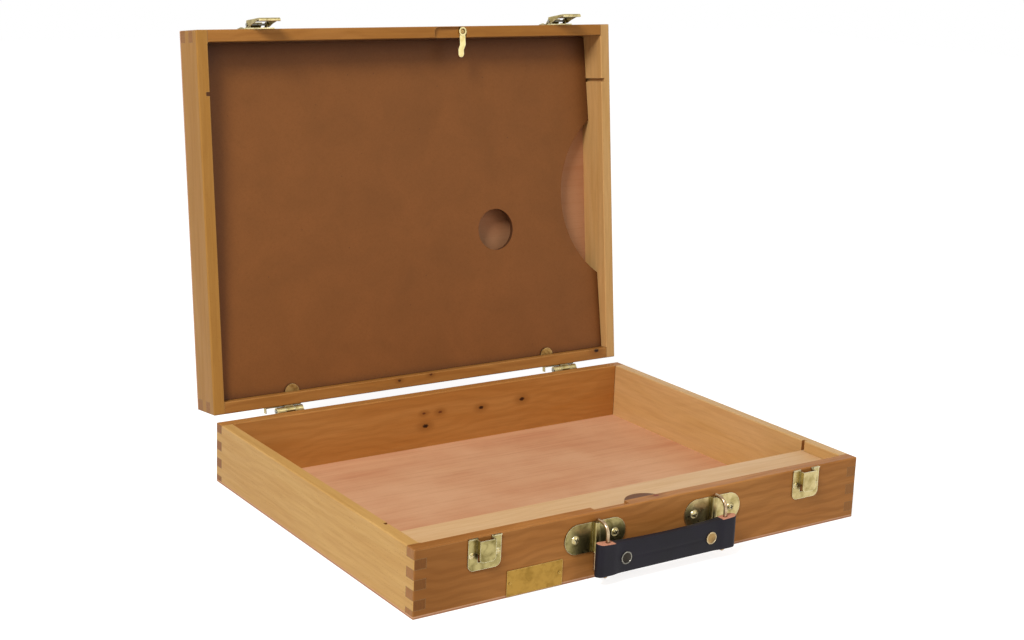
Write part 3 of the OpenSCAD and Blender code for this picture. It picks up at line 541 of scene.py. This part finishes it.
def lathe(bm, profile, centre, axis, steps=48):
    """Turned shape: profile of (radius, height) in millimetres, along axis from centre."""
    axis = Vector(axis).normalized()
    side = axis.orthogonal().normalized()
    other = axis.cross(side)
    rows = []
    for radius, height in profile:
        base = Vector(centre) + axis * (height * mm)
        if radius == 0.0:
            rows.append([bm.verts.new(base)])
            continue
        rows.append([bm.verts.new(base + (side * math.cos(a) + other * math.sin(a)) * (radius * mm))
                     for a in (2 * math.pi * i / steps for i in range(steps))])
    for low, high in zip(rows, rows[1:]):
        for i in range(steps):
            j = (i + 1) % steps
            quad = [low[i % len(low)], low[j % len(low)], high[j % len(high)], high[i % len(high)]]
            face = [v for k, v in enumerate(quad) if v not in quad[:k]]
            if len(face) > 2:
                bm.faces.new(face)


# Strap and rivets

strap_end = ring_x + strap_past


def strap_half(x):
    """Half the strap's thickness at x: slim in the middle, fuller at the loops, round at the ends."""
    swell_from = 45.0
    swell_len = 8.0
    a = abs(x)
    round_from = strap_end - strap_loop_r
    if a > round_from:
        return max(0.05, math.sqrt(max(0.0, strap_loop_r ** 2 - (a - round_from) ** 2)))
    t = min(1.0, max(0.0, (a - swell_from) / swell_len))
    return strap_slim + (strap_loop_r - strap_slim) * t * t * (3 - 2 * t)


def strap_section(x):
    """Rounded outline of the strap at x: (y, z) points, with a crease along the front."""
    face_steps = 24
    corner_steps = 6
    low_steps = 12
    corner_r = 1.3
    sag_half = 66.6
    crease_below = 0.6
    crease_deep = 0.42
    crease_wide = 0.85
    crease_half = 47.0
    puff_most = 0.55
    puff_half = 60.0
    half = strap_half(x)
    low = strap_z0
    top = strap_z1 - strap_sag * max(0.0, 1 - (x / sag_half) ** 2)
    r = min(corner_r, half * 0.75)
    mid = (top + low) / 2 - crease_below
    crease = crease_deep * max(0.0, 1 - (x / crease_half) ** 4)
    puff = puff_most * max(0.0, 1 - (x / puff_half) ** 6)
    edge = half - 0.5 * puff - r
    sides = []
    for side, dent_share, crown_share in ((-1, 1.0, 1.0), (1, 0.4, 0.5)):
        points = []
        for i in range(face_steps + 1):
            t = i / face_steps
            z = low + r + (top - low - 2 * r) * t
            dent = crease * math.exp(-((z - mid) / crease_wide) ** 2)
            crown = puff * (1 - (2 * t - 1) ** 2) * crown_share
            points.append((side * (half - dent * dent_share - 0.5 * puff + crown * 0.9), z))
        for i in range(1, corner_steps):
            a = math.pi / 2 * i / corner_steps
            points.append((side * (edge + r * math.cos(a)), top - r + r * math.sin(a)))
        sides.append(points)
    front, back = sides
    under = []
    for i in range(1, low_steps):
        a = math.pi * i / low_steps
        way = 0 if 2 * i == low_steps else math.copysign(1, math.cos(a))
        under.append((way * (edge + r * abs(math.cos(a))), low + r - r * math.sin(a)))
    return front + back[::-1] + under


def make_strap():
    """Lofted along X between two round ends, with a hole in each loop for its ring."""
    end_steps = 10
    run_steps = 70
    run = strap_end - strap_loop_r
    hole_steps = 32
    hole_low = 4.0
    hole_high = 40.0
    ends = [strap_end - strap_loop_r * (1 - math.sin(math.pi / 2 * i / end_steps))
            for i in range(end_steps, 0, -1)]
    middle = [-run + 2 * run * i / run_steps for i in range(run_steps + 1)]
    bm = bmesh.new()
    rows = []
    for x in [-a for a in ends] + middle + ends[::-1]:
        rows.append([bm.verts.new((x * mm, (bar_y + y) * mm, z * mm)) for y, z in strap_section(x)])
    count = len(rows[0])
    for a, b in zip(rows, rows[1:]):
        for i in range(count):
            j = (i + 1) % count
            bm.faces.new((a[i], b[i], b[j], a[j]))
    bm.faces.new(rows[0][::-1])
    bm.faces.new(rows[-1])
    bmesh.ops.remove_doubles(bm, verts=bm.verts, dist=1e-6)
    strap = new_object("leather_strap", bm, leather(), "strap")
    cutters = []
    for side in (-1, 1):
        cut = bmesh.new()
        angles = [2 * math.pi * i / hole_steps for i in range(hole_steps)]
        prism(cut, [(side * ring_x + bar_hole_r * math.cos(a), bar_y + bar_hole_r * math.sin(a))
                    for a in angles], hole_low, hole_high)
        cutters.append(cut)
    subtract(strap, cutters, angle=50.0)
    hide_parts("handle_strap")


def make_rivets():
    """A rivet at each end of the strap: dark with a worn rim at the left, brass at the right."""
    dark = metal("rivet_antique", "#35302A", "#1C1916", 0.24, edge="#8A8478")
    bright = metal("rivet_brass", "#9A7C4E", "#6E5430", 0.26, edge="#E6D8B4")
    rim = metal("rivet_rim", "#6A665C", "#2A2722", 0.2, edge="#B4B0A4")
    profile = [(0.0, 1.15), (2.2, 1.1), (3.6, 0.92), (4.0, 0.8), (4.15, 1.0), (4.5, 1.08),
               (4.8, 0.85), (4.85, 0.4), (4.7, 0.0), (1.2, 0.0), (1.2, -3.1)]
    z = (strap_z0 + strap_z1 - strap_sag) / 2
    for side, name, face, outer in ((-1, "rivet_left", dark, rim), (1, "rivet_right", bright, bright)):
        x = side * (ring_x - rivet_in)
        bm = bmesh.new()
        for way in (-1, 1):
            lathe(bm, profile, (x * mm, (bar_y + way * rivet_seat) * mm, z * mm), (0, way, 0))
        rivet = new_object(name, bm, face, "strap")
        rivet.data.materials.append(outer)
        for poly in rivet.data.polygons:
            if math.hypot(poly.center.x - x * mm, poly.center.z - z * mm) > rivet_face_r * mm:
                poly.material_index = 1
        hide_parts("handle_rivets")


# Ring plate screws and brush compartment


def make_plate_screws():
    """Domed cross-head screws of the ring plates, each turned its own way."""
    profile = [(0.0, 1.8), (1.0, 1.74), (2.0, 1.4), (2.8, 0.85), (3.2, 0.35), (3.4, 0.0), (1.2, 0.0),
               (1.2, -9.0), (0.0, -9.0)]
    slot_size = (4.2 * mm, 3.0 * mm, 0.95 * mm)
    slot_out = 1.9
    plate_face = -box_d / 2 - plate_t
    turns = {-ring_x - plate_screw_x: 20, -ring_x + plate_screw_x: 55,
             ring_x - plate_screw_x: 10, ring_x + plate_screw_x: 70}
    bm = bmesh.new()
    crosses = bmesh.new()
    for x, turn in turns.items():
        lathe(bm, profile, (x * mm, plate_face * mm, plate_z * mm), (0, -1, 0))
        middle = Matrix.Translation((x * mm, (plate_face - slot_out) * mm, plate_z * mm))
        for way in (0, 90):
            spin = Matrix.Rotation(math.radians(turn + way), 4, "Y")
            bar = middle @ spin @ Matrix.Diagonal((*slot_size, 1.0))
            bmesh.ops.create_cube(crosses, size=1.0, matrix=bar)
    screws = new_object("ring_plate_screw_heads", bm, pale, "base")
    subtract(screws, [crosses], crossing=True)
    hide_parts("ring_plate_screws")


def board_piece(name, outline, low, high, material):
    """A flat board from its plan outline, with eased edges."""
    ease = 0.4
    bm = bmesh.new()
    prism(bm, outline, low, high)
    bmesh.ops.recalc_face_normals(bm, faces=bm.faces)
    bmesh.ops.bevel(bm, geom=list(bm.edges), offset=ease * mm, segments=2, affect="EDGES")
    return new_object(name, bm, material, "base")


def make_compartment():
    """Thin cover over the brush compartment, keyed into the side grooves, and the divider under it."""
    side = box_w / 2 - wall - board_play
    ear = side + groove_bite
    front = -box_d / 2 + wall + 2 * seat_gap
    groove = -box_d / 2 + groove_y
    near_y, far_y = groove - divider_half, groove + divider_half
    beech = wood("beech_cover", "X", "#D6AC7A", "#B58550", "#DEB88A", "#B58550", seed=11.4, figure=0.06,
                 flecks=0.2)
    cover = [(-side, front), (side, front), (side, near_y), (ear, near_y), (ear, far_y),
             (-ear, far_y), (-ear, near_y), (-side, near_y)]
    board_piece("brush_cover", cover, groove_low + seat_gap, cover_top, beech)
    divider = [(-side, near_y), (side, near_y), (side, far_y), (-side, far_y)]
    board_piece("brush_divider", divider, panel_t + seat_gap, groove_low - seat_gap, beech)


# Stage: pale floor, white surroundings, lamps and camera

sky_light = 0.38
floor_grey = (0.6, 0.6, 0.6, 1.0)
floor_glow = 0.78


def white_seen(tree):
    """1 for camera, glossy and transmission rays, which see plain white."""
    path = tree.nodes.new("ShaderNodeLightPath")
    seen = path.outputs["Is Camera Ray"]
    for name in ("Is Glossy Ray", "Is Transmission Ray"):
        either = tree.nodes.new("ShaderNodeMath")
        either.operation = "MAXIMUM"
        tree.links.new(seen, either.inputs[0])
        tree.links.new(path.outputs[name], either.inputs[1])
        seen = either.outputs[0]
    return seen


def choose(tree, plain, seen, output):
    """Mixes two shaders: what lights the object and what the camera sees."""
    pick = tree.nodes.new("ShaderNodeMixShader")
    tree.links.new(white_seen(tree), pick.inputs[0])
    tree.links.new(plain.outputs[0], pick.inputs[1])
    tree.links.new(seen.outputs[0], pick.inputs[2])
    tree.links.new(pick.outputs[0], output.inputs["Surface"])


def make_world():
    world = bpy.data.worlds.new("studio")
    scene.world = world
    world.use_nodes = True
    tree = world.node_tree
    light = tree.nodes["Background"]
    seen = tree.nodes.new("ShaderNodeBackground")
    for background, strength in ((light, sky_light), (seen, 1.0)):
        background.inputs["Color"].default_value = (1.0, 1.0, 1.0, 1.0)
        background.inputs["Strength"].default_value = strength
    choose(tree, light, seen, tree.nodes["World Output"])


def make_floor():
    bm = bmesh.new()
    bmesh.ops.create_grid(bm, x_segments=1, y_segments=1, size=4.0)
    floor = plain_object("floor", bm)
    mat = bpy.data.materials.new("floor_white")
    mat.use_nodes = True
    tree = mat.node_tree
    diffuse = tree.nodes.new("ShaderNodeBsdfDiffuse")
    diffuse.inputs["Color"].default_value = floor_grey
    glow = tree.nodes.new("ShaderNodeEmission")
    glow.inputs["Strength"].default_value = floor_glow
    both = tree.nodes.new("ShaderNodeAddShader")
    tree.links.new(diffuse.outputs[0], both.inputs[0])
    tree.links.new(glow.outputs[0], both.inputs[1])
    choose(tree, diffuse, both, tree.nodes["Material Output"])
    floor.data.materials.append(mat)


def area_light(name, place, target, size, power):
    light = bpy.data.lights.new(name, "AREA")
    light.shape = "DISK"
    light.size = size
    light.energy = power
    obj = bpy.data.objects.new(name, light)
    obj.location = place
    obj.rotation_mode = "QUATERNION"
    obj.rotation_quaternion = (Vector(target) - Vector(place)).to_track_quat("-Z", "Y")
    scene.collection.objects.link(obj)


def make_camera():
    """Camera fitted to the box's corners in the photograph."""
    place = (-0.7786, -1.0802, 0.4875)
    right = Vector((0.83214, -0.55335, 0.03669))
    ahead = Vector((0.54705, 0.80822, -0.21798))
    turn = Matrix((right, right.cross(ahead), -ahead)).transposed()
    data = bpy.data.cameras.new("camera")
    data.sensor_width = 36.0
    data.lens = 59.67
    data.shift_x = 0.0195
    data.shift_y = -0.046
    data.clip_start = 0.05
    data.clip_end = 50.0
    camera = bpy.data.objects.new("camera", data)
    camera.matrix_world = Matrix.Translation(place) @ turn.to_4x4()
    scene.collection.objects.link(camera)
    scene.camera = camera


dress_boards()
dress_metal()
make_strap()
make_rivets()
make_plate_screws()
make_compartment()
make_world()
make_floor()
area_light("key", place=(-1.55, -0.85, 1.75), target=(0, 0, 0.12), size=0.7, power=42.0)
area_light("fill", place=(0.9, -1.9, 1.1), target=(0, 0, 0.15), size=1.4, power=7.0)
make_camera()
scene.view_settings.view_transform = "Standard"
